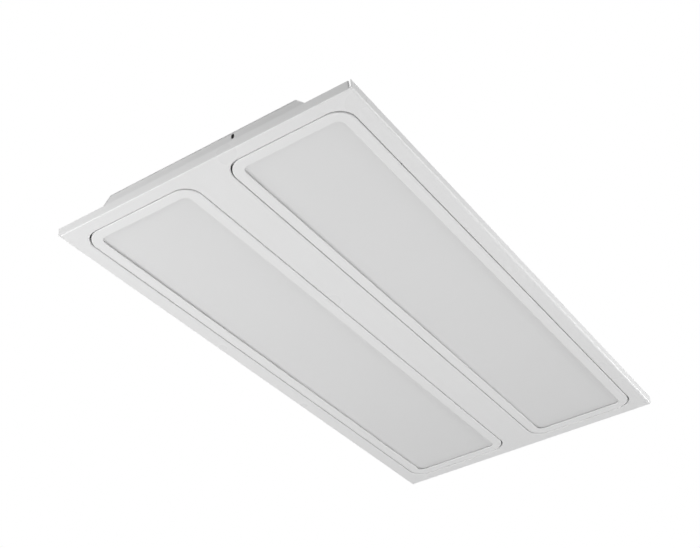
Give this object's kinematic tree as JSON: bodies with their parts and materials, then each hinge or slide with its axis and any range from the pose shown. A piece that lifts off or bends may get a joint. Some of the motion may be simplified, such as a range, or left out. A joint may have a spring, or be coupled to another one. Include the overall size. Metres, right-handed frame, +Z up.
{
  "type": "recessed troffer light",
  "caption": "Recessed ceiling troffer with a white folded-sheet face, hinged round-cornered opal windows, sloping housing with swing-out grid clips.",
  "frame": {"origin": "centre of the visible face, on the plane of its underside", "axes": "+Z up into the ceiling void, +Y along the long side, X across"},
  "size_m": [0.595, 1.195, 0.0528],
  "materials": {
    "face_paint": "satin white powder coat with a very fine texture",
    "trim_paint": "satin white powder coat",
    "housing_paint": "semi-matt white coil coat",
    "reflector_paint": "matt high-reflectance white",
    "opal_acrylic": "opal white, satin surface",
    "gasket_foam": "pale closed-cell foam",
    "board_white": "white solder mask",
    "zinc_steel": "galvanised, dull",
    "driver_shell": "plain mill finish",
    "spring_steel": "blued spring strip",
    "bright_fasteners": "zinc-plated",
    "terminal_plastic": "natural white nylon",
    "mains_insulation": "smooth insulation",
    "output_insulation": "smooth insulation",
    "grommet_rubber": "moulded black",
    "brass_plate": "plain"
  },
  "bodies": {
    "root": {"board_screws_left": "bright_fasteners", "board_screws_right": "bright_fasteners", "cable_grommet": "grommet_rubber", "catch_clips_left": "spring_steel", "catch_clips_right": "spring_steel", "clip_pivots": "bright_fasteners", "cover_screws": "bright_fasteners", "driver_base": "zinc_steel", "driver_case": "driver_shell", "driver_screws": "bright_fasteners", "earth_nut": "brass_plate", "earth_stud": "brass_plate", "end_plate_far": "housing_paint", "end_plate_near": "housing_paint", "end_plate_rivets": "bright_fasteners", "face_frame": "face_paint", "hinge_brackets_left": "housing_paint", "hinge_brackets_right": "housing_paint", "housing_shell": "housing_paint", "led_board_1_left": "board_white", "led_board_1_right": "board_white", "led_board_2_left": "board_white", "led_board_2_right": "board_white", "led_board_3_left": "board_white", "led_board_3_right": "board_white", "led_board_4_left": "board_white", "led_board_4_right": "board_white", "led_tray_left": "reflector_paint", "led_tray_right": "reflector_paint", "mains_wires": "mains_insulation", "output_cable_left": "output_insulation", "output_cable_right": "output_insulation", "reflector_frame_left": "reflector_paint", "reflector_frame_right": "reflector_paint", "terminal_block": "terminal_plastic", "terminal_plate": "zinc_steel", "terminal_screws": "bright_fasteners", "wiring_cover": "housing_paint"},
    "door_left": {"trim_frame_left": "trim_paint", "diffuser_left": "opal_acrylic", "diffuser_gasket_left": "gasket_foam", "diffuser_clips_left": "zinc_steel", "clip_studs_left": "bright_fasteners", "hinge_pins_left": "bright_fasteners", "catch_blades_left": "zinc_steel"},
    "door_right": {"trim_frame_right": "trim_paint", "diffuser_right": "opal_acrylic", "diffuser_gasket_right": "gasket_foam", "diffuser_clips_right": "zinc_steel", "clip_studs_right": "bright_fasteners", "hinge_pins_right": "bright_fasteners", "catch_blades_right": "zinc_steel"},
    "clip_arm_1": {"grid_clip_1": "zinc_steel"},
    "clip_arm_2": {"grid_clip_2": "zinc_steel"},
    "clip_arm_3": {"grid_clip_3": "zinc_steel"},
    "clip_arm_4": {"grid_clip_4": "zinc_steel"}
  },
  "joints": [
    {"name": "door_left_hinge", "type": "hinge", "parent": "root", "child": "door_left", "pos_m": [-0.257, 0, 0.0032], "axis": [0, 1, 0], "range_deg": [0, 90]},
    {"name": "door_right_hinge", "type": "hinge", "parent": "root", "child": "door_right", "pos_m": [0.257, 0, 0.0032], "axis": [0, -1, 0], "range_deg": [0, 90]},
    {"name": "grid_clip_1_swing", "type": "hinge", "parent": "root", "child": "clip_arm_1", "pos_m": [-0.15, -0.5635, 0.04605], "axis": [0, 0, -1], "range_deg": [0, 90]},
    {"name": "grid_clip_2_swing", "type": "hinge", "parent": "root", "child": "clip_arm_2", "pos_m": [0.15, -0.5635, 0.04605], "axis": [0, 0, 1], "range_deg": [0, 90]},
    {"name": "grid_clip_3_swing", "type": "hinge", "parent": "root", "child": "clip_arm_3", "pos_m": [-0.15, 0.5635, 0.04605], "axis": [0, 0, 1], "range_deg": [0, 90]},
    {"name": "grid_clip_4_swing", "type": "hinge", "parent": "root", "child": "clip_arm_4", "pos_m": [0.15, 0.5635, 0.04605], "axis": [0, 0, -1], "range_deg": [0, 90]}
  ]
}
